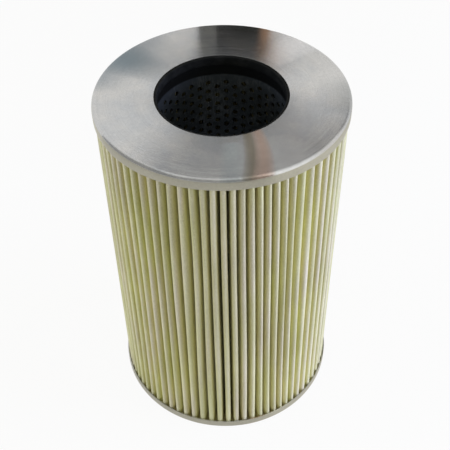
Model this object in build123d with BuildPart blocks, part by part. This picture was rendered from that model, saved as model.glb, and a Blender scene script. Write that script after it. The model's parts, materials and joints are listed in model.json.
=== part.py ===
from build123d import *

import os
from math import cos, pi, radians, sin

# Pleated filter element for a hydraulic return or suction line.
# A folded paper pack stands round a punched steel tube, between two pressed steel end caps.
# The axis is Z and the origin is the centre of the foot. Both ends are open and alike.

# Overall size
height = 204.0
cap_radius = 65.0

# End caps, pressed from sheet
cap_sheet = 0.8
skirt_depth = 6.2
rim_bend = 0.9

# Seals, which grip the housing's spigot
spigot_bore = 65.0
seal_wall = 1.45
seal_height = 5.0
seal_recess = 0.3
seal_fit = 0.05

# Centre tube, rolled from punched sheet that stays flat along each column of holes
tube_wall = 0.8
plain_end = 11.5
flats_per_column = 4

# The real sheet has a hole every 5.65 mm; these are some of them, drawn with few sides
hole_diameter = 3.0
hole_sides = 6
hole_columns = 10
hole_rows = 6

# Potting, the adhesive bed in each cap
potting_depth = 2.4
potting_fit = 0.05

# Folded paper
pleat_count = 75
paper = 0.8
pack_clearance = 0.2
tube_clearance = 0.3
crest_width = 3.2
crest_flat = 1.4
crest_rise = 0.6
valley_width = 0.5

# Clip that grips the two ends of the folded paper
clip_sheet = 0.5
clip_leg = 6.0
seam_gap = 0.1
seam_bearing = 90.0

# Radii and levels that follow
skirt_inside = cap_radius - cap_sheet
tube_inside = spigot_bore / 2 + seal_wall + seal_fit
tube_outside = tube_inside + tube_wall
tube_flats = hole_columns * flats_per_column
tube_corner = tube_outside / cos(pi / tube_flats)
pack_foot = cap_sheet + potting_depth
pack_length = height - 2 * pack_foot
crest_radius = skirt_inside - pack_clearance
root_radius = tube_corner + tube_clearance
mid_plane = Plane.XY.offset(height / 2)

os.makedirs("parts", exist_ok=True)

# Bottom end cap: a pan with the bore in its floor and a bend round its rim
with BuildPart() as bottom_end_cap:
    with BuildSketch(Plane.XZ):
        with BuildLine():
            Polyline(
                (tube_inside, 0),
                (cap_radius - rim_bend, 0),
                (cap_radius, rim_bend),
                (cap_radius, skirt_depth),
                (skirt_inside, skirt_depth),
                (skirt_inside, cap_sheet),
                (tube_inside, cap_sheet),
                close=True,
            )
        make_face()
    revolve(axis=Axis.Z)
bottom_end_cap.part.label = "bottom_end_cap"
export_step(bottom_end_cap.part, "parts/bottom_end_cap.step")

# Bottom seal: a rubber ring in the mouth of the tube
with BuildPart() as bottom_seal:
    with BuildSketch(Plane.XY.offset(seal_recess)):
        Circle(spigot_bore / 2 + seal_wall)
        Circle(spigot_bore / 2, mode=Mode.SUBTRACT)
    extrude(amount=seal_height)
bottom_seal.part.label = "bottom_seal"
export_step(bottom_seal.part, "parts/bottom_seal.step")

# Bottom potting: it fills the pan from the skirt to the tube and takes the shape of both
with BuildPart() as bottom_potting:
    with BuildSketch(Plane.XY.offset(cap_sheet)):
        Circle(skirt_inside - potting_fit)
        RegularPolygon(
            tube_outside + potting_fit,
            tube_flats,
            major_radius=False,
            rotation=180 / tube_flats,
            mode=Mode.SUBTRACT,
        )
    extrude(amount=potting_depth)
bottom_potting.part.label = "bottom_potting"
export_step(bottom_potting.part, "parts/bottom_potting.step")

# The top end repeats the bottom end, the other way up
with BuildPart() as top_end_cap:
    mirror(bottom_end_cap.part, about=mid_plane)
top_end_cap.part.label = "top_end_cap"
export_step(top_end_cap.part, "parts/top_end_cap.step")

with BuildPart() as top_seal:
    mirror(bottom_seal.part, about=mid_plane)
top_seal.part.label = "top_seal"
export_step(top_seal.part, "parts/top_seal.step")

with BuildPart() as top_potting:
    mirror(bottom_potting.part, about=mid_plane)
top_potting.part.label = "top_potting"
export_step(top_potting.part, "parts/top_potting.step")

# Centre tube: it stands on the caps, and every other column of holes is half a step higher
hole_step = (height - 2 * plain_end) / hole_rows

with BuildPart() as centre_tube:
    with BuildSketch(Plane.XY.offset(cap_sheet)):
        RegularPolygon(tube_outside, tube_flats, major_radius=False, rotation=180 / tube_flats)
        RegularPolygon(
            tube_inside,
            tube_flats,
            major_radius=False,
            rotation=180 / tube_flats,
            mode=Mode.SUBTRACT,
        )
    extrude(amount=height - 2 * cap_sheet)
    for column in range(hole_columns):
        bearing = 2 * pi * column / hole_columns
        lift = hole_step / 4 if column % 2 else -hole_step / 4
        wall = Plane(
            origin=(0, 0, height / 2 + lift),
            x_dir=(-sin(bearing), cos(bearing), 0),
            z_dir=(cos(bearing), sin(bearing), 0),
        )
        with BuildSketch(wall):
            with GridLocations(0, hole_step, 1, hole_rows):
                RegularPolygon(hole_diameter / 2, hole_sides)
        extrude(amount=2 * tube_outside - tube_inside, mode=Mode.SUBTRACT)
centre_tube.part.label = "centre_tube"
export_step(centre_tube.part, "parts/centre_tube.step")

# Folded paper: one sheet, whose two ends stand side by side in the clip
step = 2 * pi / (pleat_count + 1)
seam = radians(seam_bearing)
end_radius = crest_radius - clip_sheet
pinch_radius = end_radius - clip_leg


def spot(bearing, radius, aside=0.0):
    """Point of the plan on a line from the axis, and a distance to the left of it."""
    return (
        radius * cos(bearing) - aside * sin(bearing),
        radius * sin(bearing) + aside * cos(bearing),
    )


def outside_of(crest):
    """Corners of the outside of one pleat, from the valley before it to the valley after it."""
    return [
        spot(crest - step / 2, root_radius + paper, valley_width / 2),
        spot(crest, crest_radius - crest_rise, -crest_width / 2),
        spot(crest, crest_radius, -crest_flat / 2),
        spot(crest, crest_radius, crest_flat / 2),
        spot(crest, crest_radius - crest_rise, crest_width / 2),
        spot(crest + step / 2, root_radius + paper, -valley_width / 2),
    ]


def inside_of(crest):
    """Corners of the inside of one pleat, one sheet under its outside."""
    root_half = valley_width / 2 + paper
    crest_half = crest_width / 2 - paper
    return [
        spot(crest - step / 2, root_radius, root_half),
        spot(crest, crest_radius - paper, -crest_half),
        spot(crest, crest_radius - paper, crest_half),
        spot(crest + step / 2, root_radius, -root_half),
    ]


def end_of_sheet(side):
    """Corners of an end of the sheet, from its last valley out and back; side is 1 or -1."""
    valley = seam + side * step / 2
    return [
        spot(valley, root_radius + paper, -side * valley_width / 2),
        spot(seam, pinch_radius, side * (seam_gap / 2 + paper)),
        spot(seam, end_radius, side * (seam_gap / 2 + paper)),
        spot(seam, end_radius, side * seam_gap / 2),
        spot(seam, pinch_radius, side * seam_gap / 2),
        spot(valley, root_radius, -side * (valley_width / 2 + paper)),
    ]


crests = [seam + (number + 1) * step for number in range(pleat_count)]
outline = [corner for crest in crests for corner in outside_of(crest)]
outline += end_of_sheet(-1)
outline += [corner for crest in reversed(crests) for corner in reversed(inside_of(crest))]
outline += reversed(end_of_sheet(1))

with BuildPart() as pleated_media:
    with BuildSketch(Plane.XY.offset(pack_foot)):
        with BuildLine():
            Polyline(outline, close=True)
        make_face()
    extrude(amount=pack_length)
pleated_media.part.label = "pleated_media"
export_step(pleated_media.part, "parts/pleated_media.step")

# Seam clip: a strip folded over the two ends of the paper
clip_inside = seam_gap / 2 + paper
clip_outside = clip_inside + clip_sheet

with BuildPart() as seam_clip:
    with BuildSketch(Plane.XY.offset(pack_foot)):
        with BuildLine():
            Polyline(
                spot(seam, pinch_radius, clip_outside),
                spot(seam, crest_radius, clip_outside),
                spot(seam, crest_radius, -clip_outside),
                spot(seam, pinch_radius, -clip_outside),
                spot(seam, pinch_radius, -clip_inside),
                spot(seam, end_radius, -clip_inside),
                spot(seam, end_radius, clip_inside),
                spot(seam, pinch_radius, clip_inside),
                close=True,
            )
        make_face()
    extrude(amount=pack_length)
seam_clip.part.label = "seam_clip"
export_step(seam_clip.part, "parts/seam_clip.step")
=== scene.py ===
"""Looks of a pleated filter element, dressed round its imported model.

Lengths are in metres, in the model's own frame: +Z runs up the element's axis from the centre of
its foot, and -Y faces the camera. Bearings run anticlockwise from +X, seen from above.
"""

from __future__ import annotations

import json
import logging
from dataclasses import dataclass, field
from enum import Enum
from math import atan2, cos, pi, radians, sin, sqrt
from typing import ClassVar, Mapping, Optional, Sequence, Union

import bpy
import numpy as np
from mathutils import Euler, Matrix, Vector


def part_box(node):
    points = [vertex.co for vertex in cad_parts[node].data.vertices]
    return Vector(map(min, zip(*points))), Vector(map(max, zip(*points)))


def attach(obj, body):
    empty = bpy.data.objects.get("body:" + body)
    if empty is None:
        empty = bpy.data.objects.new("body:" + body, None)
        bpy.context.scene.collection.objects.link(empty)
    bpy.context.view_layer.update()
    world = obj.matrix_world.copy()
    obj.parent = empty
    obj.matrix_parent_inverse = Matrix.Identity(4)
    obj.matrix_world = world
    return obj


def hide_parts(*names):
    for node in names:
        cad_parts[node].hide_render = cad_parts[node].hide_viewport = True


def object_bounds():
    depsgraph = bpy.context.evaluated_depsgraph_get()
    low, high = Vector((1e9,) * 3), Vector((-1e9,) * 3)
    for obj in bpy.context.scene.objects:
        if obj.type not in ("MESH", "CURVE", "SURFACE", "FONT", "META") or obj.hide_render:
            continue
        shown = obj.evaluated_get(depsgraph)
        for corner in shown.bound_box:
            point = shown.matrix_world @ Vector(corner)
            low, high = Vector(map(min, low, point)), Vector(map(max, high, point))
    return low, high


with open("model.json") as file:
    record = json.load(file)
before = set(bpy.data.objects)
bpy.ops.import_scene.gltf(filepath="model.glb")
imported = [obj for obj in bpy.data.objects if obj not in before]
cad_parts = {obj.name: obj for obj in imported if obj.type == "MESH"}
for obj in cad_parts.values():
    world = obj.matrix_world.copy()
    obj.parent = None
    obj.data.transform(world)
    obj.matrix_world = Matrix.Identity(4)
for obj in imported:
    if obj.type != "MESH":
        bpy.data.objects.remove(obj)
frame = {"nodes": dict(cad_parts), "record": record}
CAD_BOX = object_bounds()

LOG = logging.getLogger("filter_element")
ROOT = "root"
Point = tuple[float, float]
Span = tuple[float, float]
Triple = tuple[float, float, float]
Colour = tuple[float, float, float, float]
WHITE: Colour = (1.0, 1.0, 1.0, 1.0)

# Most of a noise lies between these two values
NOISE_LOW = 0.3
NOISE_HIGH = 0.7

# Length of the centre tube that has no holes, at each end
PLAIN_END = 0.0115

# Waves round a turned piece that its ripple is made of
RIPPLE_COUNTS = (2, 3, 5, 7)


class Slot(Enum):
    """The record's material slots."""

    CAP = "cap_steel"
    SEAL = "seal_rubber"
    POTTING = "potting_adhesive"
    TUBE = "tube_steel"
    PAPER = "filter_paper"
    CLIP = "clip_steel"


class End(Enum):
    """The element's two ends, by the first word of their nodes' names."""

    TOP = "top"
    BOTTOM = "bottom"


# Shader sheets


class Wire:
    """An output socket of a shader node. Arithmetic on it adds Math nodes to its sheet."""

    def __init__(self, sheet: Sheet, socket: bpy.types.NodeSocket) -> None:
        """Keep the socket and the sheet it is on."""
        self.sheet = sheet
        self.socket = socket

    def _math(self, operation: str, *values: Value) -> Wire:
        """Add one Math node.

        Args:
            operation: the Math node's operation.
            values: its inputs in order, as numbers or wires.

        Returns:
            The node's result.
        """
        sockets = dict(enumerate(values))
        return self.sheet.add("ShaderNodeMath", {"operation": operation}, sockets)

    def __add__(self, other: Value) -> Wire:
        """Sum."""
        return self._math("ADD", self, other)

    def __radd__(self, other: Value) -> Wire:
        """Sum with a number on the left."""
        return self._math("ADD", other, self)

    def __sub__(self, other: Value) -> Wire:
        """Difference."""
        return self._math("SUBTRACT", self, other)

    def __rsub__(self, other: Value) -> Wire:
        """Difference from a number on the left."""
        return self._math("SUBTRACT", other, self)

    def __mul__(self, other: Value) -> Wire:
        """Product."""
        return self._math("MULTIPLY", self, other)

    def __rmul__(self, other: Value) -> Wire:
        """Product with a number on the left."""
        return self._math("MULTIPLY", other, self)

    def other(self, key: Union[int, str]) -> Wire:
        """Another output of the same node."""
        return Wire(self.sheet, Sheet.find(self.socket.node.outputs, key))

    def bearing_to(self, across: Wire) -> Wire:
        """Angle whose tangent is this wire over another one."""
        return self._math("ARCTAN2", self, across)

    def between(self, low: float, high: float, start: float = 0.0, end: float = 1.0) -> Wire:
        """Spread a range of the wire over another range, and hold it there.

        Args:
            low: value that becomes start.
            high: value that becomes end.
            start: first value of the result.
            end: last value of the result.

        Returns:
            The spread wire.
        """
        sockets = {"Value": self, "From Min": low, "From Max": high, "To Min": start, "To Max": end}
        return self.sheet.add("ShaderNodeMapRange", {"clamp": True}, sockets)

    def over(self, span: Span) -> Wire:
        """A noise spread over a range."""
        return self.between(NOISE_LOW, NOISE_HIGH, *span)

    def swing(self, share: float) -> Wire:
        """A noise's swing about its middle, times a share."""
        return (self - 0.5) * share


Value = Union[float, Wire]
Setting = Union[str, int, float, bool, Sequence[tuple[float, Colour]]]


class Sheet:
    """A tree of shader nodes, filled through one method."""

    def __init__(self, tree: bpy.types.NodeTree) -> None:
        """Take over a node tree and empty it."""
        self.tree = tree
        self.tree.nodes.clear()

    @staticmethod
    def find(sockets: Sequence[bpy.types.NodeSocket], key: Union[int, str]) -> bpy.types.NodeSocket:
        """Look a node's socket up.

        Args:
            sockets: the node's inputs or outputs.
            key: its place, its identifier or its name.

        Returns:
            The socket.
        """
        if isinstance(key, int):
            return sockets[key]
        for socket in sockets:
            if socket.identifier == key:
                return socket
        return sockets[key]

    def add(
        self,
        kind: str,
        settings: Optional[Mapping[str, Setting]] = None,
        sockets: Optional[Mapping[Union[int, str], object]] = None,
        result: Union[int, str] = 0,
    ) -> Wire:
        """Add a node, with its settings set before its sockets.

        Args:
            kind: the node's type.
            settings: its properties; "stops" are a colour ramp's places and colours.
            sockets: values or wires for its inputs.
            result: the output that the caller wants.

        Returns:
            That output.
        """
        node = self.tree.nodes.new(kind)
        for name, setting in (settings or {}).items():
            if name == "stops":
                self._set_stops(node.color_ramp, setting)
            else:
                setattr(node, name, setting)
        for key, value in (sockets or {}).items():
            socket = self.find(node.inputs, key)
            if isinstance(value, Wire):
                self.tree.links.new(value.socket, socket)
            else:
                socket.default_value = value
        if not node.outputs:
            return Wire(self, node.inputs[0])
        return Wire(self, self.find(node.outputs, result))

    @staticmethod
    def _set_stops(ramp: bpy.types.ColorRamp, stops: Sequence[tuple[float, Colour]]) -> None:
        """Give a colour ramp its stops.

        Args:
            ramp: the ramp.
            stops: places and colours, in order.
        """
        while len(ramp.elements) < len(stops):
            ramp.elements.new(1.0)
        for element, (place, colour) in zip(ramp.elements, stops):
            element.position = place
            element.color = colour

    def place(self) -> Wire:
        """Position on the piece, in metres."""
        return self.add("ShaderNodeTexCoord", result="Object")

    def stretched(self, vector: Wire, by: Triple) -> Wire:
        """A vector with each of its parts multiplied."""
        return self.add("ShaderNodeVectorMath", {"operation": "MULTIPLY"}, {0: vector, 1: by})

    def joined(self, x: Value, y: Value, z: Value) -> Wire:
        """A vector made of three values."""
        return self.add("ShaderNodeCombineXYZ", None, {"X": x, "Y": y, "Z": z})

    def parts(self, vector: Wire) -> tuple[Wire, Wire, Wire]:
        """The three values of a vector."""
        first = self.add("ShaderNodeSeparateXYZ", None, {0: vector})
        return first, first.other("Y"), first.other("Z")

    def reach(self, vector: Wire) -> Wire:
        """Distance from the element's axis."""
        flat = self.stretched(vector, (1.0, 1.0, 0.0))
        return self.add("ShaderNodeVectorMath", {"operation": "LENGTH"}, {0: flat}, "Value")

    def noise(self, vector: Wire, scale: float, detail: float = 2.0, rough: float = 0.5) -> Wire:
        """Cloudy noise, about 0.5.

        Args:
            vector: where it is read.
            scale: lumps in a metre.
            detail: finer layers on top.
            rough: how strong those layers are.

        Returns:
            The noise's value.
        """
        sockets = {"Vector": vector, "Scale": scale, "Detail": detail, "Roughness": rough}
        return self.add("ShaderNodeTexNoise", {"noise_dimensions": "3D"}, sockets)

    def ramp(self, value: Wire, *stops: tuple[float, Colour]) -> Wire:
        """A value turned into a colour."""
        return self.add("ShaderNodeValToRGB", {"stops": stops}, {"Fac": value})

    def mixed(self, share: Value, first: Union[Wire, Colour], second: Union[Wire, Colour]) -> Wire:
        """Two colours mixed by a share of the second."""
        sockets = {"Factor_Float": share, "A_Color": first, "B_Color": second}
        return self.add("ShaderNodeMix", {"data_type": "RGBA"}, sockets, "Result_Color")

    def tinged(self, colour: Union[Wire, Colour], by: Union[Wire, Colour]) -> Wire:
        """Multiply two colours.

        Args:
            colour: the first.
            by: the second.

        Returns:
            Their product.
        """
        settings = {"data_type": "RGBA", "blend_type": "MULTIPLY"}
        sockets = {"Factor_Float": 1.0, "A_Color": colour, "B_Color": by}
        return self.add("ShaderNodeMix", settings, sockets, "Result_Color")

    def dimmed(self, colour: Union[Wire, Colour], by: Wire) -> Wire:
        """A colour multiplied by a value."""
        return self.tinged(colour, self.joined(by, by, by))

    def bump(self, height: Wire, depth: float, strength: float = 1.0) -> Wire:
        """A normal bent by a height that runs from 0 to 1.

        Args:
            height: the height.
            depth: what 1 stands for, in metres.
            strength: share of the effect.

        Returns:
            The bent normal.
        """
        sockets = {"Height": height, "Distance": depth, "Strength": strength}
        return self.add("ShaderNodeBump", None, sockets)

    def surface(self, sockets: Mapping[Union[int, str], object]) -> Wire:
        """A Principled surface with the given inputs."""
        return self.add("ShaderNodeBsdfPrincipled", None, sockets)

    def finish(self, shader: Wire, kind: str = "ShaderNodeOutputMaterial") -> None:
        """Join a shader to the sheet's output."""
        self.add(kind, None, {"Surface": shader})


# Finishes


@dataclass(frozen=True)
class Finish:
    """What a surface is made of."""

    name: str

    def dress(self, sheet: Sheet) -> None:
        """Fill the material's sheet."""
        raise NotImplementedError

    def material(self) -> bpy.types.Material:
        """Make the finish's material, once.

        Returns:
            The material.
        """
        made = bpy.data.materials.get(self.name)
        if made is None:
            made = bpy.data.materials.new(self.name)
            made.use_nodes = True
            self.dress(Sheet(made.node_tree))
        return made


@dataclass(frozen=True)
class FilterPaper(Finish):
    """Resin-treated cellulose paper: fibrous and matt. Its colour carries painted shade deep in the
    folds and towards the top, and a painted highlight on the outward folds.
    """

    name: str = "treated_paper"
    root_radius: float = 0.036
    crest_radius: float = 0.064
    # Colours by depth from the axis. The first three darken towards the inner folds: painted shade in
    # the valleys, not the paper's own colour.
    hollow_painted_shade: Colour = (0.018, 0.015, 0.009, 1.0)
    fold: Colour = (0.155, 0.125, 0.032, 1.0)
    valley_painted_shade: Colour = (0.43, 0.38, 0.09, 1.0)
    flank: Colour = (0.735, 0.695, 0.285, 1.0)
    # The two crest colours, greyer and less yellow than the flank, are a painted highlight: the
    # whitish look of the lit crests.
    crest: Colour = (0.64, 0.61, 0.395, 1.0)
    wear_and_painted_highlight: Colour = (0.66, 0.63, 0.455, 1.0)
    green: Colour = (0.98, 1.01, 0.86, 1.0)
    grey: Colour = (1.02, 0.985, 1.13, 1.0)
    sheen: Colour = (1.0, 0.96, 0.64, 1.0)
    fibre_scale: float = 1900.0
    fibre_run: Triple = (1.0, 1.0, 0.45)
    fibre_depth: float = 0.00012
    hue_scale: float = 120.0
    hue_run: Triple = (1.0, 1.0, 0.12)
    hue_span: Span = (0.36, 0.64)
    pleat_scale: float = 210.0
    pleat_run: Triple = (1.0, 1.0, 0.06)
    stain_scale: float = 26.0
    # Painted shade: the paper's colour runs from lighter at the foot to darker at the top.
    foot_painted_light: float = 1.055
    top_painted_shade: float = 0.92
    roughness: Span = (0.82, 0.95)

    def dress(self, sheet: Sheet) -> None:
        """Fill the material's sheet.

        Args:
            sheet: the sheet.
        """
        place = sheet.place()
        fibre = sheet.noise(sheet.stretched(place, self.fibre_run), self.fibre_scale, 4.0, 0.65)
        pleat = sheet.noise(sheet.stretched(place, self.pleat_run), self.pleat_scale, 2.0)
        stain = sheet.noise(place, self.stain_scale, 3.0)
        depth = sheet.reach(place).between(self.root_radius, self.crest_radius)
        # Painted shade that darkens the paper from the foot to the top.
        run = sheet.parts(place)[2].between(0.0, CAD_BOX[1][2], self.foot_painted_light, self.top_painted_shade)
        height = depth + fibre.swing(0.03) + pleat.swing(0.04)
        # Painted shade in the valleys and a painted highlight on the crests, by depth from the axis.
        tint = sheet.ramp(
            height,
            (0.03, self.hollow_painted_shade),
            (0.10, self.fold),
            (0.40, self.valley_painted_shade),
            (0.91, self.flank),
            (0.985, self.crest),
            (1.0, self.wear_and_painted_highlight),
        )
        hue = sheet.noise(sheet.stretched(place, self.hue_run), self.hue_scale, 2.0)
        cast = sheet.mixed(hue.between(*self.hue_span), self.green, self.grey)
        # Tone: the painted shade from foot to top, and the paper's own uneven tone from the noises.
        tone = run + pleat.swing(0.7) + fibre.swing(0.6) + stain.swing(0.4)
        sockets = {
            "Base Color": sheet.tinged(sheet.dimmed(tint, tone), cast),
            "Roughness": fibre.over(self.roughness),
            "Specular IOR Level": 0.12,
            "Sheen Weight": 0.9,
            "Sheen Roughness": 0.5,
            "Sheen Tint": self.sheen,
            "Normal": sheet.bump(fibre, self.fibre_depth),
        }
        sheet.finish(sheet.surface(sockets))


@dataclass(frozen=True)
class PaintedReflection:
    """A painted reflection: a light, dark or coloured streak on the plating, along a line that leaves
    the bore at one bearing and leans.
    """

    bearing: float
    lean: float
    spread: float
    tint: Colour
    inner: float
    outer: float
    BORE: ClassVar[float] = 0.034
    RIM: ClassVar[float] = 0.065

    def over(self, sheet: Sheet, base: Wire, x: Wire, y: Wire, reach: Wire) -> Wire:
        """Lay the painted reflection over a colour.

        Args:
            sheet: the sheet that it is worked out on.
            base: the colour without it.
            x: place along X.
            y: place along Y.
            reach: distance from the axis.

        Returns:
            The colour with it.
        """
        turn = radians(self.bearing)
        ahead = x * cos(turn) + y * sin(turn)
        aside = y * cos(turn) - x * sin(turn)
        leant = reach.between(self.BORE, self.RIM, 0.0, radians(self.lean))
        off = aside.bearing_to(ahead) - leant
        inside = (off * off).between(0.0, radians(self.spread) ** 2, 1.0, 0.0)
        return sheet.mixed(inside * reach.between(self.inner, self.outer), base, self.tint)


@dataclass(frozen=True)
class TurnedSteel(Finish):
    """Bright plated sheet, marked all round by its drawing and spinning, with painted reflections
    laid on its face and its skirt.
    """

    name: str = "turned_sheet"
    tint: Colour = (0.55, 0.55, 0.54, 1.0)
    warm: Colour = (0.565, 0.55, 0.525, 1.0)
    cold: Colour = (0.50, 0.515, 0.53, 1.0)
    # Painted reflection on the skirt: darker and beige, for the paper and the shaded floor that it
    # faces.
    skirt_painted_reflection: Colour = (0.50, 0.478, 0.39, 1.0)
    skirt_reach: float = 0.0649
    skirt_fade: float = 0.00015
    # Painted reflections: light, dark and coloured streaks on the face, each leaving the bore at a
    # bearing.
    painted_reflections: tuple[PaintedReflection, ...] = (
        PaintedReflection(-91.0, 0.0, 26.0, (0.76, 0.76, 0.74, 1.0), 0.042, 0.064),
        PaintedReflection(-84.0, 0.0, 8.0, (0.60, 0.64, 0.64, 1.0), 0.038, 0.040),
        PaintedReflection(-66.0, 0.0, 22.0, (0.76, 0.76, 0.745, 1.0), 0.036, 0.060),
        PaintedReflection(-69.4, -8.5, 5.5, (0.41, 0.365, 0.29, 1.0), 0.030, 0.034),
        PaintedReflection(-61.5, -12.3, 5.5, (0.70, 0.54, 0.45, 1.0), 0.030, 0.034),
        PaintedReflection(47.0, 0.0, 12.0, (0.72, 0.71, 0.70, 1.0), 0.034, 0.040),
        PaintedReflection(77.0, 0.0, 9.0, (0.38, 0.39, 0.36, 1.0), 0.048, 0.062),
        PaintedReflection(-3.0, 0.0, 16.0, (0.39, 0.395, 0.385, 1.0), 0.046, 0.064),
        PaintedReflection(165.0, 0.0, 13.0, (0.34, 0.36, 0.37, 1.0), 0.046, 0.062),
        PaintedReflection(141.0, 0.0, 24.0, (0.33, 0.35, 0.36, 1.0), 0.036, 0.060),
        PaintedReflection(148.0, 0.0, 15.0, (0.20, 0.24, 0.26, 1.0), 0.032, 0.056),
    )
    skirt_dulling: float = 0.12
    groove_scale: float = 1500.0
    groove_drift: float = 0.0006
    groove_depth: float = 0.000012
    cloud_scale: float = 42.0
    cloud_span: Span = (0.40, 0.62)
    cloud_share: float = 0.6
    speck_scale: float = 900.0
    unevenness: float = 0.3
    anisotropy: float = 1.0
    roughness: Span = (0.21, 0.26)

    def dress(self, sheet: Sheet) -> None:
        """Fill the material's sheet.

        Args:
            sheet: the sheet.
        """
        place = sheet.place()
        x, y, z = sheet.parts(place)
        turn = y.bearing_to(x)
        reach = sheet.reach(place)
        along = sheet.joined(reach + z, turn * self.groove_drift, 0.0)
        rings = sheet.noise(along, self.groove_scale, 3.0)
        cloud = sheet.noise(place, self.cloud_scale, 3.0, 0.6)
        speck = sheet.noise(place, self.speck_scale, 2.0, 0.7)
        tinted = sheet.mixed(cloud.between(*self.cloud_span), self.cold, self.warm)
        tint = sheet.mixed(self.cloud_share, self.tint, tinted)
        # Lay the painted reflections on the face.
        for bloom_and_painted_reflection in self.painted_reflections:
            tint = bloom_and_painted_reflection.over(sheet, tint, x, y, reach)
        # Painted reflection on the skirt, which is also made rougher below.
        skirt = reach.between(self.skirt_reach - self.skirt_fade, self.skirt_reach)
        tint = sheet.mixed(skirt, tint, self.skirt_painted_reflection)
        tone: Value = 1.0
        for noise in (rings, speck, cloud):
            tone = tone + noise.swing(self.unevenness)
        sockets = {
            "Base Color": sheet.dimmed(tint, tone),
            "Metallic": 1.0,
            "Roughness": rings.over(self.roughness) + skirt * self.skirt_dulling,
            "Anisotropic": self.anisotropy,
            "Anisotropic Rotation": 0.25,
            "Normal": sheet.bump(rings, self.groove_depth),
        }
        sheet.finish(sheet.surface(sockets))


@dataclass(frozen=True)
class PunchedSteel(Finish):
    """Dull blackened sheet, faintly blue, with paler worn patches."""

    name: str = "punched_sheet"
    tint: Colour = (0.130, 0.153, 0.187, 1.0)
    bare: Colour = (0.27, 0.30, 0.34, 1.0)
    # Painted shadow: the hole-free ends of the tube, darkened as if shaded under the seal rings.
    painted_shadow_margin: Colour = (0.022, 0.024, 0.026, 1.0)
    margin_fade: float = 0.001
    cloud_scale: float = 70.0
    cloud_span: Span = (0.50, 0.66)
    grain_scale: float = 1400.0
    grain_run: Triple = (1.0, 1.0, 0.2)
    grain_span: Span = (0.4, 0.62)
    grain_depth: float = 0.00002
    roughness: Span = (0.40, 0.56)

    def dress(self, sheet: Sheet) -> None:
        """Fill the material's sheet.

        Args:
            sheet: the sheet.
        """
        place = sheet.place()
        half = CAD_BOX[1][2] / 2
        punched = half - PLAIN_END
        z = sheet.parts(place)[2] - half
        # Mask of the hole-free ends, which get the painted shadow.
        at_ends = (z * z).between((punched - self.margin_fade) ** 2, punched**2)
        cloud = sheet.noise(place, self.cloud_scale, 3.0, 0.6)
        grain = sheet.noise(sheet.stretched(place, self.grain_run), self.grain_scale, 3.0, 0.6)
        wear_and_painted_highlight = cloud.between(*self.cloud_span) * grain.between(*self.grain_span)
        # Base colour: worn patches, and the painted shadow on the hole-free ends.
        sockets = {
            "Base Color": sheet.mixed(at_ends, sheet.mixed(wear_and_painted_highlight, self.tint, self.bare), self.painted_shadow_margin),
            "Metallic": 0.75,
            "Roughness": grain.over(self.roughness),
            "Normal": sheet.bump(grain, self.grain_depth),
        }
        sheet.finish(sheet.surface(sockets))


@dataclass(frozen=True)
class Rubber(Finish):
    """Moulded black rubber with a faint bloom."""

    name: str = "moulded_rubber"
    tint: Colour = (0.009, 0.010, 0.0105, 1.0)
    bloom_and_painted_reflection: Colour = (0.019, 0.020, 0.021, 1.0)
    cloud_scale: float = 160.0
    cloud_span: Span = (0.45, 0.7)
    grain_scale: float = 2600.0
    grain_depth: float = 0.00003
    roughness: Span = (0.58, 0.74)

    def dress(self, sheet: Sheet) -> None:
        """Fill the material's sheet.

        Args:
            sheet: the sheet.
        """
        place = sheet.place()
        cloud = sheet.noise(place, self.cloud_scale, 3.0, 0.6)
        grain = sheet.noise(place, self.grain_scale, 2.0, 0.6)
        sockets = {
            "Base Color": sheet.mixed(cloud.between(*self.cloud_span), self.tint, self.bloom_and_painted_reflection),
            "Roughness": grain.over(self.roughness),
            "Specular IOR Level": 0.1,
            "Normal": sheet.bump(grain, self.grain_depth),
        }
        sheet.finish(sheet.surface(sockets))


@dataclass(frozen=True)
class Adhesive(Finish):
    """Poured adhesive, set cream and a little glossy, with pits."""

    name: str = "poured_adhesive"
    tint: Colour = (0.70, 0.64, 0.46, 1.0)
    dark: Colour = (0.50, 0.44, 0.28, 1.0)
    cloud_scale: float = 120.0
    cloud_span: Span = (0.35, 0.7)
    pit_scale: float = 700.0
    pit_depth: float = 0.0002
    roughness: Span = (0.32, 0.5)

    def dress(self, sheet: Sheet) -> None:
        """Fill the material's sheet.

        Args:
            sheet: the sheet.
        """
        place = sheet.place()
        cloud = sheet.noise(place, self.cloud_scale, 3.0, 0.6)
        pits = sheet.noise(place, self.pit_scale, 2.0, 0.5)
        sockets = {
            "Base Color": sheet.mixed(cloud.between(*self.cloud_span), self.tint, self.dark),
            "Roughness": cloud.over(self.roughness),
            "Normal": sheet.bump(pits, self.pit_depth),
        }
        sheet.finish(sheet.surface(sockets))


@dataclass(frozen=True)
class StripSteel(Finish):
    """Plain folded strip, rolled lengthwise."""

    name: str = "rolled_strip"
    tint: Colour = (0.56, 0.56, 0.55, 1.0)
    dull: Colour = (0.40, 0.39, 0.37, 1.0)
    roll_scale: float = 3200.0
    roll_run: Triple = (1.0, 1.0, 0.015)
    roll_depth: float = 0.00001
    cloud_scale: float = 90.0
    cloud_span: Span = (0.42, 0.66)
    roughness: Span = (0.28, 0.46)

    def dress(self, sheet: Sheet) -> None:
        """Fill the material's sheet.

        Args:
            sheet: the sheet.
        """
        place = sheet.place()
        rolled = sheet.noise(sheet.stretched(place, self.roll_run), self.roll_scale, 3.0, 0.6)
        cloud = sheet.noise(place, self.cloud_scale, 3.0, 0.6)
        sockets = {
            "Base Color": sheet.mixed(cloud.between(*self.cloud_span), self.tint, self.dull),
            "Metallic": 1.0,
            "Roughness": rolled.over(self.roughness),
            "Normal": sheet.bump(rolled, self.roll_depth),
        }
        sheet.finish(sheet.surface(sockets))


# Meshes


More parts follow.
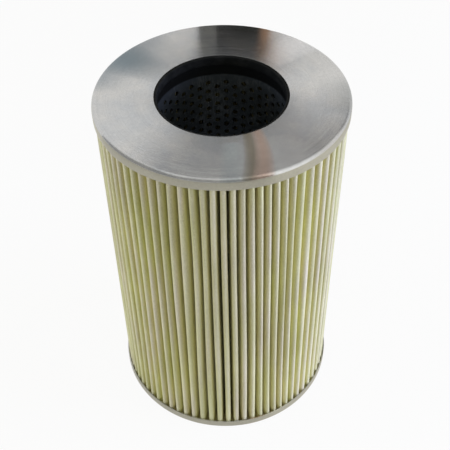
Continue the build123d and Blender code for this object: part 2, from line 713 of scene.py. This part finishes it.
def piece_from(
    name: str,
    points: np.ndarray,
    faces: Sequence[Sequence[int]],
    finish: Finish,
    crease: float = radians(40.0),
) -> bpy.types.Object:
    """Make one piece of the object from points and faces.

    Args:
        name: the piece's name.
        points: its corners, in metres. Those that no face uses are left out.
        faces: corner numbers of each face.
        finish: what it is made of.
        crease: an edge sharper than this stays sharp.

    Returns:
        The piece, in the scene.
    """
    used, numbers = np.unique(np.concatenate([list(face) for face in faces]), return_inverse=True)
    ends = np.cumsum([len(face) for face in faces])[:-1]
    mesh = bpy.data.meshes.new(name)
    mesh.from_pydata(points[used].tolist(), [], [run.tolist() for run in np.split(numbers, ends)])
    mesh.update()
    mesh.shade_smooth()
    mesh.set_sharp_from_angle(angle=crease)
    mesh.materials.append(finish.material())
    piece = bpy.data.objects.new(name, mesh)
    bpy.context.scene.collection.objects.link(piece)
    return piece


def hand_over(piece: bpy.types.Object, node: str) -> None:
    """Let a piece stand for a node of the model and ride with it.

    Args:
        piece: the piece.
        node: the node that it replaces.
    """
    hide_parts(node)
    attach(piece, ROOT)
    LOG.info("%s: %d faces", piece.name, len(piece.data.polygons))


@dataclass(frozen=True)
class Corner:
    """A corner of a turned outline: distance from the axis, level and rounding."""

    reach: float
    level: float
    rounding: float = 0.0


def rounded(corners: Sequence[Corner], steps: int = 6) -> list[Point]:
    """Points of a closed outline with its corners rounded.

    Args:
        corners: the outline's corners in order.
        steps: lines in each rounding.

    Returns:
        The points in order.
    """
    points: list[Point] = []
    for number, corner in enumerate(corners):
        here = Vector((corner.reach, corner.level))
        last = corners[number - 1]
        after = corners[(number + 1) % len(corners)]
        back = (Vector((last.reach, last.level)) - here).normalized()
        on = (Vector((after.reach, after.level)) - here).normalized()
        if corner.rounding <= 0.0:
            points.append((here.x, here.y))
            continue
        half = back.angle(on) / 2
        start = here + back * (corner.rounding / np.tan(half))
        middle = here + (back + on).normalized() * (corner.rounding / sin(half))
        first = start - middle
        sweep = (pi - 2 * half) * (1.0 if back.x * on.y - back.y * on.x < 0 else -1.0)
        for step in range(steps + 1):
            turned = Matrix.Rotation(sweep * step / steps, 2) @ first
            points.append((middle.x + turned.x, middle.y + turned.y))
    return points


def turned_piece(
    name: str,
    outline: Sequence[Point],
    finish: Finish,
    segments: int = 256,
    ripple: float = 0.0,
    seed: int = 1,
) -> bpy.types.Object:
    """Turn a closed outline round the element's axis.

    Args:
        name: the piece's name.
        outline: distances from the axis and levels, in order.
        finish: what it is made of.
        segments: steps round the axis.
        ripple: how far the surface strays inwards, in metres.
        seed: start of the ripple's random waves.

    Returns:
        The piece.
    """
    reach, level = np.array(outline).T
    bearings = np.arange(segments) * 2 * pi / segments
    draw = np.random.default_rng(seed)
    waves = sum(
        draw.uniform(0.3, 1.0) * np.sin(count * bearings + draw.uniform(0, 2 * pi))
        for count in RIPPLE_COUNTS
    )
    waves = ripple * (waves - waves.max()) / (waves.max() - waves.min())
    share = (reach - reach.min()) / (reach.max() - reach.min())
    radii = reach[None, :] + waves[:, None] * share[None, :]
    points = np.stack(
        [
            radii * np.cos(bearings)[:, None],
            radii * np.sin(bearings)[:, None],
            np.broadcast_to(level, radii.shape),
        ],
        axis=-1,
    ).reshape(-1, 3)
    around, along = np.meshgrid(np.arange(segments), np.arange(len(reach)), indexing="ij")
    next_around = (around + 1) % segments
    next_along = (along + 1) % len(reach)
    faces = np.stack(
        [
            around * len(reach) + along,
            next_around * len(reach) + along,
            next_around * len(reach) + next_along,
            around * len(reach) + next_along,
        ],
        axis=-1,
    ).reshape(-1, 4)
    return piece_from(name, points, faces, finish)


# Sub-assemblies


@dataclass(frozen=True)
class EndCap:
    """A pressed pan that closes one end of the pack."""

    end: End
    sheet: float = 0.0008
    rim_bend: float = 0.0021
    skirt_edge: float = 0.00025
    bore_edge: float = 0.0001
    inner_bend: float = 0.0005
    ripple: float = 0.00008
    finish: Finish = field(default_factory=TurnedSteel)

    @property
    def node(self) -> str:
        """The model's node."""
        return f"{self.end.value}_end_cap"

    def build(self) -> bpy.types.Object:
        """Make the cap.

        Returns:
            The cap, in place.
        """
        low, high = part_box(self.node)
        radius = CAD_BOX[1][0]
        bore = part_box("centre_tube")[1].x - PunchedTube.wall
        skirt = high.z - low.z
        corners = [
            Corner(bore, 0.0, self.bore_edge),
            Corner(radius, 0.0, self.rim_bend),
            Corner(radius, skirt, self.skirt_edge),
            Corner(radius - self.sheet, skirt, self.skirt_edge),
            Corner(radius - self.sheet, self.sheet, self.inner_bend),
            Corner(bore, self.sheet, self.bore_edge),
        ]
        outline = rounded(corners)
        if self.end is End.TOP:
            outline = [(reach, high.z - level) for reach, level in reversed(outline)]
        name = f"{self.end.value}_cap_pressing"
        cap = turned_piece(name, outline, self.finish, ripple=self.ripple, seed=len(name))
        hand_over(cap, self.node)
        return cap


@dataclass(frozen=True)
class SealRing:
    """A rubber ring in the mouth of the tube."""

    end: End
    lip_round: float = 0.0006
    back_round: float = 0.0002
    finish: Finish = field(default_factory=Rubber)

    def build(self) -> bpy.types.Object:
        """Make the ring.

        Returns:
            The ring, in place.
        """
        node = f"{self.end.value}_seal"
        low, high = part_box(node)
        mounts = {mount["name"]: mount for mount in frame["record"]["mounts"]}
        bore = mounts[f"{self.end.value}_seal_bore"]["dims"]["r_mm"] / 1000
        outline = rounded(
            [
                Corner(bore, low.z, self.lip_round),
                Corner(high.x, low.z, self.back_round),
                Corner(high.x, high.z, self.back_round),
                Corner(bore, high.z, self.lip_round),
            ]
        )
        ring = turned_piece(f"{node}_ring", outline, self.finish, segments=192)
        hand_over(ring, node)
        return ring


@dataclass(frozen=True)
class PunchedTube:
    """The centre tube, with every hole of its punched pattern."""

    wall: float = 0.0008
    hole_radius: float = 0.0015
    hole_pitch: float = 0.00565
    columns: int = 44
    finish: Finish = field(default_factory=PunchedSteel)

    def build(self) -> bpy.types.Object:
        """Make the tube.

        A cell of the pattern is one column wide and one pitch tall. Its edge has twelve corners,
        shared with its neighbours, and so has its hole.

        Returns:
            The tube, in place.
        """
        low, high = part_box("centre_tube")
        radii = (high.x, high.x - self.wall)
        middle = sum(radii) / 2
        rows = int((high.z - low.z - 2 * PLAIN_END) / self.hole_pitch)
        start = (low.z + high.z - rows * self.hole_pitch) / 2
        levels = [low.z] + [start + j * self.hole_pitch / 4 for j in range(4 * rows + 1)] + [high.z]
        halves = 2 * self.columns
        points: list[Triple] = []
        faces: list[tuple[int, ...]] = []

        def corner(half: int, row: int, layer: int) -> int:
            """Number of a corner of the shared grid."""
            return (layer * len(levels) + row) * halves + half % halves

        def point(bearing: float, level: float, layer: int) -> Triple:
            """A point on one face of the tube."""
            return (radii[layer] * cos(bearing), radii[layer] * sin(bearing), level)

        def skin(loop: Sequence[int], layer: int) -> None:
            """Add a face, turned outwards on its own side."""
            faces.append(tuple(loop) if layer == 0 else tuple(reversed(loop)))

        def plain(half: int, row: int) -> None:
            """Add one plain patch of the grid on both sides.

            Args:
                half: half a column, counted round the tube.
                row: the patch's row.
            """
            for layer in (0, 1):
                near = corner(half, row, layer), corner(half + 1, row, layer)
                far = corner(half + 1, row + 1, layer), corner(half, row + 1, layer)
                skin(near + far, layer)

        def cell(column: int, row: int) -> None:
            """Add one cell and its hole.

            Args:
                column: the cell's column.
                row: its lowest row of the grid.
            """
            left = 2 * column
            edge = [(left, row), (left + 1, row)]
            edge += [(left + 2, row + step) for step in range(5)]
            edge += [(left + 1, row + 4)]
            edge += [(left, row + step) for step in (4, 3, 2, 1)]
            centre = (left + 1) * pi / self.columns
            level = levels[row + 2]
            rims = []
            for layer in (0, 1):
                rim = []
                for number in range(len(edge)):
                    turn = radians(30 * number - 120)
                    bearing = centre + self.hole_radius * cos(turn) / middle
                    rim.append(len(points))
                    points.append(point(bearing, level + self.hole_radius * sin(turn), layer))
                for number in range(len(edge)):
                    ahead = (number + 1) % len(edge)
                    outer = corner(*edge[number], layer), corner(*edge[ahead], layer)
                    skin(outer + (rim[ahead], rim[number]), layer)
                rims.append(rim)
            for number in range(len(edge)):
                ahead = (number + 1) % len(edge)
                faces.append((rims[0][number], rims[0][ahead], rims[1][ahead], rims[1][number]))

        for layer in (0, 1):
            for level in levels:
                points += [point(half * pi / self.columns, level, layer) for half in range(halves)]
        last = len(levels) - 1
        for half in range(halves):
            plain(half, 0)
            plain(half, last - 1)
            for row in (0, last):
                ring = [corner(half, row, 0), corner(half + 1, row, 0)]
                ring += [corner(half + 1, row, 1), corner(half, row, 1)]
                faces.append(tuple(ring) if row else tuple(reversed(ring)))
        for column in range(self.columns):
            shifted = column % 2
            for row in range(rows - shifted):
                cell(column, 1 + 4 * row + 2 * shifted)
            if shifted:
                for row in (1, 2, last - 3, last - 2):
                    plain(2 * column, row)
                    plain(2 * column + 1, row)
        tube = piece_from("punched_tube", np.array(points), faces, self.finish)
        hand_over(tube, "centre_tube")
        return tube


@dataclass(frozen=True)
class Drift:
    """A smooth sideways shift of the pleats about one bearing, all in degrees."""

    bearing: float
    spread: float
    shift: float

    def at(self, bearings: np.ndarray) -> np.ndarray:
        """The shift at some bearings, in radians."""
        off = (np.degrees(bearings) - self.bearing + 180.0) % 360.0 - 180.0
        return np.radians(self.shift) * np.exp(-((off / self.spread) ** 2))


@dataclass(frozen=True)
class PleatLie:
    """How the pleats lie: drawn together in places, leaning and slightly wavy."""

    top: tuple[Drift, ...] = (Drift(-52.0, 30.0, -5.4), Drift(-105.0, 20.0, 0.8))
    foot: tuple[Drift, ...] = (Drift(-45.0, 18.0, -3.2), Drift(-97.0, 14.0, 1.2))
    sway: float = 0.32
    double_sway: float = 0.6
    sway_counts: tuple[int, ...] = (7, 11, 16, 22)
    slow: float = 0.5
    slow_counts: tuple[int, ...] = (2, 3, 5)
    seed: int = 7

    def _waves(self, bearings: np.ndarray, counts: tuple[int, ...], seed: int) -> np.ndarray:
        """Add up seeded waves round the pack.

        Args:
            bearings: where they are read.
            counts: how many of each wave go round the pack.
            seed: start of their random heights and places.

        Returns:
            The sum at each bearing, about 1 high.
        """
        draw = np.random.default_rng(self.seed * 100 + seed)
        total = np.zeros_like(bearings)
        for count in counts:
            total += draw.uniform(0.5, 1.0) * np.sin(count * bearings + draw.uniform(0, 2 * pi))
        return total / sqrt(len(counts) / 2)

    def shift(self, bearings: np.ndarray, share: np.ndarray) -> np.ndarray:
        """Sideways shift of points of the pack.

        Args:
            bearings: where the points would be in an even pack.
            share: how far up the pack they are, from 0 to 1.

        Returns:
            The shift of each point, in radians.
        """
        top = sum(drift.at(bearings) for drift in self.top)
        foot = sum(drift.at(bearings) for drift in self.foot)
        top = top + radians(self.slow) * self._waves(bearings, self.slow_counts, 1)
        foot = foot + radians(self.slow) * self._waves(bearings, self.slow_counts, 2)
        bow = self._waves(bearings, self.sway_counts, 3) * np.sin(pi * share)
        snake = self._waves(bearings, self.sway_counts, 4) * np.sin(2 * pi * share) * self.double_sway
        return foot + (top - foot) * share + radians(self.sway) * (bow + snake)


@dataclass(frozen=True)
class PaperPack:
    """The folded paper: one sheet, closed round the tube by its clip."""

    pleats: int = 75
    paper: float = 0.0008
    crest_width: float = 0.0032
    valley_width: float = 0.0005
    clip_sheet: float = 0.0005
    clip_leg: float = 0.006
    seam_gap: float = 0.0001
    seam: float = pi / 2
    crest_steps: int = 8
    flank_steps: int = 3
    root_steps: int = 4
    levels: int = 21
    root_gap: float = 0.0004
    crest_play: float = 0.0004
    dent_waves: float = 5.0
    crease: float = radians(60.0)
    seed: int = 11
    lie: PleatLie = field(default_factory=PleatLie)
    finish: Finish = field(default_factory=FilterPaper)

    @property
    def step(self) -> float:
        """Angle from one pleat to the next."""
        return 2 * pi / (self.pleats + 1)

    @property
    def crest_radius(self) -> float:
        """Distance of the crests from the axis."""
        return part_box("seam_clip")[1].y

    @property
    def root_radius(self) -> float:
        """Distance of the inner folds from the axis."""
        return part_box("centre_tube")[1].x + self.root_gap

    def _middle(self) -> np.ndarray:
        """The middle of the sheet in plan, from its first end to its last.

        Returns:
            Its points, one a row.
        """
        bend = (self.crest_width - self.paper) / 2
        fold = (self.valley_width + self.paper) / 2
        crest_centre = self.crest_radius - self.paper / 2 - bend
        root_centre = self.root_radius + self.paper / 2 + fold
        aside = root_centre * sin(self.step / 2)
        drop = crest_centre - root_centre * cos(self.step / 2)
        slant = np.arcsin((bend + fold) / np.hypot(aside, drop)) - atan2(aside, drop)
        end_radius = self.crest_radius - self.clip_sheet
        pinch = (self.seam_gap + self.paper) / 2

        def turn(points: np.ndarray, bearing: float) -> np.ndarray:
            """Turn local points to a bearing.

            Args:
                points: points with their second part outwards.
                bearing: the bearing.

            Returns:
                The points in plan.
            """
            across, out = points.T
            x = out * np.cos(bearing) - across * np.sin(bearing)
            y = out * np.sin(bearing) + across * np.cos(bearing)
            return np.stack([x, y], axis=1)

        angles = np.linspace(pi + slant, -slant, self.crest_steps + 1)
        crest = np.stack([bend * np.cos(angles), crest_centre + bend * np.sin(angles)], axis=1)
        angles = np.linspace(pi - slant, 2 * pi + slant, self.root_steps + 1)
        root = np.stack([fold * np.cos(angles), root_centre + fold * np.sin(angles)], axis=1)
        end = np.array([[pinch, end_radius], [pinch, end_radius - self.clip_leg]])
        runs = [turn(end, self.seam)]
        for number in range(self.pleats + 1):
            valley = self.seam + (number + 0.5) * self.step
            runs.append(turn(root, valley))
            if number < self.pleats:
                runs.append(turn(crest, self.seam + (number + 1) * self.step))
        runs.append(turn(end[::-1] * (-1, 1), self.seam))
        points = [runs[0]]
        for run in runs[1:]:
            start = points[-1][-1]
            shares = np.arange(1, self.flank_steps)[:, None] / self.flank_steps
            points.append(start + (run[0] - start) * shares)
            points.append(run)
        return np.concatenate(points)

    def build(self) -> bpy.types.Object:
        """Make the pack.

        Returns:
            The pack, in place.
        """
        low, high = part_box("pleated_media")
        middle = self._middle()
        along = np.gradient(middle, axis=0)
        along /= np.linalg.norm(along, axis=1)[:, None]
        right = np.stack([along[:, 1], -along[:, 0]], axis=1)
        faces_in_plan = np.concatenate(
            [middle + right * self.paper / 2, (middle - right * self.paper / 2)[::-1]]
        )
        reach = np.hypot(*faces_in_plan.T)
        bearing = np.unwrap(np.arctan2(faces_in_plan[:, 1], faces_in_plan[:, 0]))
        share = np.linspace(0.0, 1.0, self.levels)[:, None] * np.ones_like(reach)
        outward = (reach - self.root_radius) / (self.crest_radius - self.root_radius)
        outward = np.clip(outward, 0.0, 1.0)
        draw = np.random.default_rng(self.seed)
        number = np.round((bearing - self.seam) / self.step).astype(int) % (self.pleats + 1)
        play = draw.uniform(0.0, 1.0, self.pleats + 1) * self.crest_play
        play[0] = 0.0
        wander = draw.uniform(0.0, 2 * pi, self.pleats + 1)
        held = np.sin(pi * share) ** 0.5
        waves = 0.6 + 0.4 * np.sin(self.dent_waves * share + wander[number])
        dent = play[number] * waves * held
        radii = reach - dent * outward**2
        turned = bearing + self.lie.shift(np.broadcast_to(bearing, share.shape), share)
        points = np.stack(
            [radii * np.cos(turned), radii * np.sin(turned), low.z + share * (high.z - low.z)],
            axis=-1,
        ).reshape(-1, 3)
        count = len(reach)
        row, place = np.meshgrid(np.arange(self.levels - 1), np.arange(count), indexing="ij")
        ahead = (place + 1) % count
        sides = np.stack(
            [
                row * count + place,
                row * count + ahead,
                (row + 1) * count + ahead,
                (row + 1) * count + place,
            ],
            axis=-1,
        ).reshape(-1, 4)
        half = len(middle)
        place = np.arange(half - 1)
        facing = 2 * half - 1 - place
        foot = np.stack([place, facing, facing - 1, place + 1], axis=1)
        top = foot[:, ::-1] + (self.levels - 1) * count
        faces = np.concatenate([sides, foot, top])
        pack = piece_from("paper_pack", points, faces, self.finish, self.crease)
        hand_over(pack, "pleated_media")
        return pack


@dataclass(frozen=True)
class SeamClip:
    """The strip folded over the paper's two ends, leaning as they lean."""

    pack: PaperPack
    levels: int = 21
    bend: float = 0.0005
    fit: float = 0.00002
    crease: float = radians(35.0)
    finish: Finish = field(default_factory=StripSteel)

    def build(self) -> bpy.types.Object:
        """Make the clip.

        Returns:
            The clip, in place.
        """
        low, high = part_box("seam_clip")
        inside = self.pack.seam_gap / 2 + self.pack.paper + self.fit
        outside = high.x
        leg = low.y
        outline = rounded(
            [
                Corner(outside, leg),
                Corner(outside, high.y, self.bend),
                Corner(-outside, high.y, self.bend),
                Corner(-outside, leg),
                Corner(-inside, leg),
                Corner(-inside, high.y - self.pack.clip_sheet),
                Corner(inside, high.y - self.pack.clip_sheet),
                Corner(inside, leg),
            ]
        )
        plan = np.array(outline)
        share = np.linspace(0.0, 1.0, self.levels)[:, None]
        lean = self.pack.lie.shift(np.full_like(share, self.pack.seam), share)
        x = plan[:, 0] * np.cos(lean) - plan[:, 1] * np.sin(lean)
        y = plan[:, 0] * np.sin(lean) + plan[:, 1] * np.cos(lean)
        z = np.broadcast_to(low.z + share * (high.z - low.z), x.shape)
        points = np.stack([x, y, z], axis=-1).reshape(-1, 3)
        count = len(plan)
        faces = [
            (start + place, start + ahead, start + count + ahead, start + count + place)
            for start in range(0, (self.levels - 1) * count, count)
            for place, ahead in zip(range(count), [*range(1, count), 0])
        ]
        faces.append(tuple(reversed(range(count))))
        faces.append(tuple(range((self.levels - 1) * count, self.levels * count)))
        clip = piece_from("seam_clip_strip", points, faces, self.finish, self.crease)
        hand_over(clip, "seam_clip")
        return clip


@dataclass(frozen=True)
class PottingBed:
    """The adhesive in one cap: the model's own solid, dressed."""

    end: End
    finish: Finish = field(default_factory=Adhesive)

    def build(self) -> bpy.types.Object:
        """Dress the bed.

        Returns:
            The model's node.
        """
        bed = frame["nodes"][f"{self.end.value}_potting"]
        bed.data.materials.clear()
        bed.data.materials.append(self.finish.material())
        LOG.info("%s: dressed", bed.name)
        return bed


# Studio


@dataclass(frozen=True)
class Lamp:
    """A square soft light that points at the element's middle."""

    name: str
    place: Triple
    size: float
    power: float
    tint: Triple

    def build(self, target: Vector) -> bpy.types.Object:
        """Hang the lamp.

        Args:
            target: where it points.

        Returns:
            The lamp.
        """
        light = bpy.data.lights.new(self.name, "AREA")
        light.size = self.size
        light.energy = self.power
        light.color = self.tint
        lamp = bpy.data.objects.new(self.name, light)
        lamp.location = self.place
        lamp.rotation_euler = (target - lamp.location).to_track_quat("-Z", "Y").to_euler()
        lamp.visible_glossy = False
        bpy.context.scene.collection.objects.link(lamp)
        return lamp


@dataclass(frozen=True)
class Card:
    """A flat upright or level studio board that only polished surfaces show."""

    name: str
    corner: Triple
    size: Triple
    tint: Colour

    def build(self) -> bpy.types.Object:
        """Hang the board.

        Returns:
            The board.
        """
        start = Vector(self.corner)
        first, second = (edge for edge in Matrix.Diagonal(self.size) if edge.length > 0.0)
        mesh = bpy.data.meshes.new(self.name)
        points = [start, start + first, start + first + second, start + second]
        mesh.from_pydata(points, [], [(0, 1, 2, 3)])
        material = bpy.data.materials.new(self.name)
        material.use_nodes = True
        sheet = Sheet(material.node_tree)
        sheet.finish(sheet.add("ShaderNodeEmission", None, {"Color": self.tint, "Strength": 1.0}))
        mesh.materials.append(material)
        board = bpy.data.objects.new(self.name, mesh)
        board.visible_camera = False
        board.visible_diffuse = False
        board.visible_shadow = False
        bpy.context.scene.collection.objects.link(board)
        return board


@dataclass(frozen=True)
class Studio:
    """A pale floor, soft lamps, boards and the camera."""

    lamps: tuple[Lamp, ...] = (
        Lamp("key", (1.166, -0.102, 0.30), 0.8, 15.0, (0.88, 0.97, 1.40)),
        Lamp("fill", (-1.166, -0.102, 0.30), 0.8, 7.8, (0.90, 0.97, 1.20)),
    )
    cards: tuple[Card, ...] = (
        Card("flag", (-0.003, 0.126, 0.08), (0.030, 0.0, 0.215), (0.012, 0.012, 0.011, 1.0)),
        Card("flag_edge", (-0.0152, 0.126, 0.08), (0.0122, 0.0, 0.215), (0.175, 0.175, 0.165, 1.0)),
        Card("warm_edge", (0.027, 0.126, 0.08), (0.007, 0.0, 0.215), (0.50, 0.29, 0.17, 1.0)),
        Card("overhead", (-0.136, 0.12, 0.658), (0.509, 0.379, 0.0), (0.175, 0.175, 0.175, 1.0)),
        Card("ceiling", (-0.136, -0.15, 0.658), (0.509, 0.27, 0.0), (0.66, 0.66, 0.66, 1.0)),
        Card("room", (-1.2, -0.9, 0.0), (1.95, 0.0, 2.4), (0.27, 0.27, 0.26, 1.0)),
        Card("room_left", (-1.2, -0.9, 0.0), (0.0, 1.3, 2.4), (0.33, 0.33, 0.32, 1.0)),
        Card("side", (0.27, 0.681, 0.682), (0.865, 0.0, 0.419), (0.38, 0.38, 0.38, 1.0)),
    )
    sky: float = 0.39
    sky_tint: Colour = (1.0, 0.955, 0.66, 1.0)
    floor_size: float = 6.0
    floor_tint: Colour = (0.86, 0.86, 0.86, 1.0)
    floor_glow: float = 0.93
    camera_height: float = 0.11128
    camera_reach: float = 0.48241
    camera_tilt: float = 44.994
    camera_aside: float = 0.00059
    camera_roll: float = -0.955
    lens: float = 66.904
    sensor: float = 36.0

    def _white(self, sheet: Sheet) -> Wire:
        """1 for the rays that see the background as plain white, and otherwise 0."""
        path = sheet.add("ShaderNodeLightPath", result="Is Camera Ray")
        return path + path.other("Is Glossy Ray") + path.other("Is Transmission Ray")

    def _sky(self) -> None:
        """Light the scene from all round, and show plain white behind it."""
        world = bpy.data.worlds.new("studio")
        world.use_nodes = True
        bpy.context.scene.world = world
        sheet = Sheet(world.node_tree)
        strength = self._white(sheet).between(0.0, 1.0, self.sky, 1.0)
        tint = sheet.mixed(self._white(sheet), self.sky_tint, WHITE)
        sky = sheet.add("ShaderNodeBackground", None, {"Color": tint, "Strength": strength})
        sheet.finish(sky, "ShaderNodeOutputWorld")

    def _floor(self) -> None:
        """Lay the floor: white, with the element's soft shadow on it."""
        mesh = bpy.data.meshes.new("floor")
        half = self.floor_size / 2
        points = [(-half, -half, 0.0), (half, -half, 0.0), (half, half, 0.0), (-half, half, 0.0)]
        mesh.from_pydata(points, [], [(0, 1, 2, 3)])
        material = bpy.data.materials.new("floor_white")
        material.use_nodes = True
        sheet = Sheet(material.node_tree)
        matt = sheet.add("ShaderNodeBsdfDiffuse", None, {"Color": self.floor_tint})
        glow = sheet.add("ShaderNodeEmission", None, {"Color": WHITE, "Strength": 1.0})
        share = self._white(sheet).between(0.0, 1.0, 0.0, self.floor_glow)
        sheet.finish(sheet.add("ShaderNodeMixShader", None, {0: share, 1: matt, 2: glow}))
        mesh.materials.append(material)
        floor = bpy.data.objects.new("floor", mesh)
        bpy.context.scene.collection.objects.link(floor)

    def _camera(self) -> None:
        """Stand the camera where the photograph was taken."""
        data = bpy.data.cameras.new("camera")
        data.sensor_width = self.sensor
        data.lens = self.lens
        camera = bpy.data.objects.new("camera", data)
        tilt = radians(self.camera_tilt)
        back = Vector((0.0, -cos(tilt), sin(tilt)))
        aim = Vector((self.camera_aside, 0.0, self.camera_height))
        turned = Euler((pi / 2 - tilt, 0.0, 0.0)).to_matrix().to_4x4()
        roll = Matrix.Rotation(radians(self.camera_roll), 4, "Z")
        camera.matrix_world = Matrix.Translation(aim + back * self.camera_reach) @ turned @ roll
        bpy.context.scene.collection.objects.link(camera)
        bpy.context.scene.camera = camera

    def build(self) -> None:
        """Set up everything round the element."""
        bpy.context.scene.view_settings.view_transform = "Standard"
        self._sky()
        self._floor()
        self._camera()
        middle = Vector((0.0, 0.0, CAD_BOX[1][2] / 2))
        for lamp in self.lamps:
            lamp.build(middle)
        for card in self.cards:
            card.build()


def main() -> None:
    """Dress the element and set up the studio."""
    logging.basicConfig(level=logging.INFO, format="%(name)s %(message)s")
    pack = PaperPack()
    for part in (
        *(EndCap(end) for end in End),
        *(SealRing(end) for end in End),
        *(PottingBed(end) for end in End),
        PunchedTube(),
        pack,
        SeamClip(pack),
    ):
        part.build()
    Studio().build()


if __name__ == "__main__":
    main()
